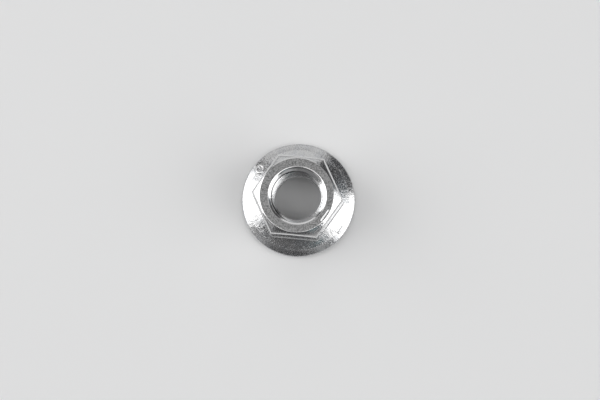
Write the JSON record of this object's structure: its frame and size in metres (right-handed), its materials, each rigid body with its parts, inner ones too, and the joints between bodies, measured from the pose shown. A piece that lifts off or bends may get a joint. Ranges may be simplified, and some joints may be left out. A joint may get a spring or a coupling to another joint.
{
  "type": "serrated flange nut",
  "caption": "Hexagon nut with a round sloping flange, a threaded bore and ratchet serrations on its bearing face.",
  "frame": {"origin": "middle of the bearing face, on the crests of the serrations", "axes": "+Z along the thread from the bearing face to the top face; +Y towards a flat of the hexagon and +X towards a corner"},
  "size_m": [0.0216, 0.0216, 0.0098],
  "materials": {
    "zinc_plated_steel": "bright zinc plating over cold-formed steel, with fine forming and handling marks"
  },
  "bodies": {
    "root": {"flange_nut": "zinc_plated_steel"}
  },
  "joints": []
}
